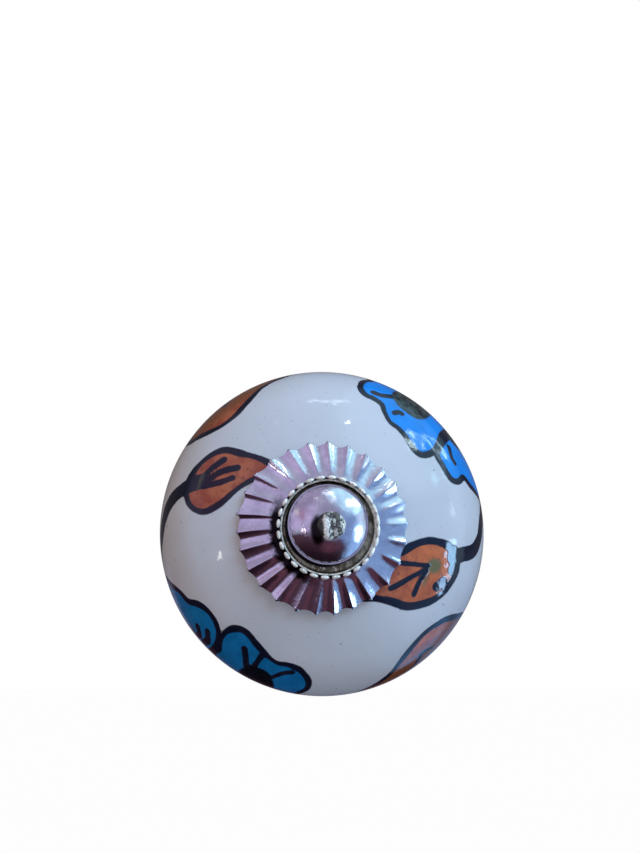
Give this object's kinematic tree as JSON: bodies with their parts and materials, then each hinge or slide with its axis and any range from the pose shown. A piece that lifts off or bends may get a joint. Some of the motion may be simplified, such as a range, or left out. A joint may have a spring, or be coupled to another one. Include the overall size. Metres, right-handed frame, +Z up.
{
  "type": "cabinet knob",
  "caption": "Round hand-painted ceramic knob with a fluted metal rosette, beaded ring and domed cap, on a threaded stud for a drawer or cabinet front.",
  "frame": {"origin": "centre of the back collar's rear face, on the stud's axis, where the knob meets the drawer front", "axes": "+Y along the stud, out of the back of the knob, so the painted head faces -Y; +Z is up and +X is to the right as seen from the front"},
  "size_m": [0.04, 0.067, 0.04],
  "materials": {
    "glazed_ceramic": "glossy glaze with painted flowers and leaves",
    "rosette_chrome": "bright plated",
    "ring_metal": "dull plated",
    "dome_chrome": "bright plated",
    "stud_steel": "zinc plated, hammered at the front end",
    "collar_chrome": "bright plated",
    "nut_steel": "zinc plated",
    "washer_steel": "zinc plated"
  },
  "bodies": {
    "root": {"ceramic_body": "glazed_ceramic", "fluted_rosette": "rosette_chrome", "beaded_ring": "ring_metal", "dome_cap": "dome_chrome", "threaded_stud": "stud_steel", "back_collar": "collar_chrome", "lock_nut": "nut_steel", "fixing_washer": "washer_steel", "fixing_nut": "nut_steel"}
  },
  "joints": []
}
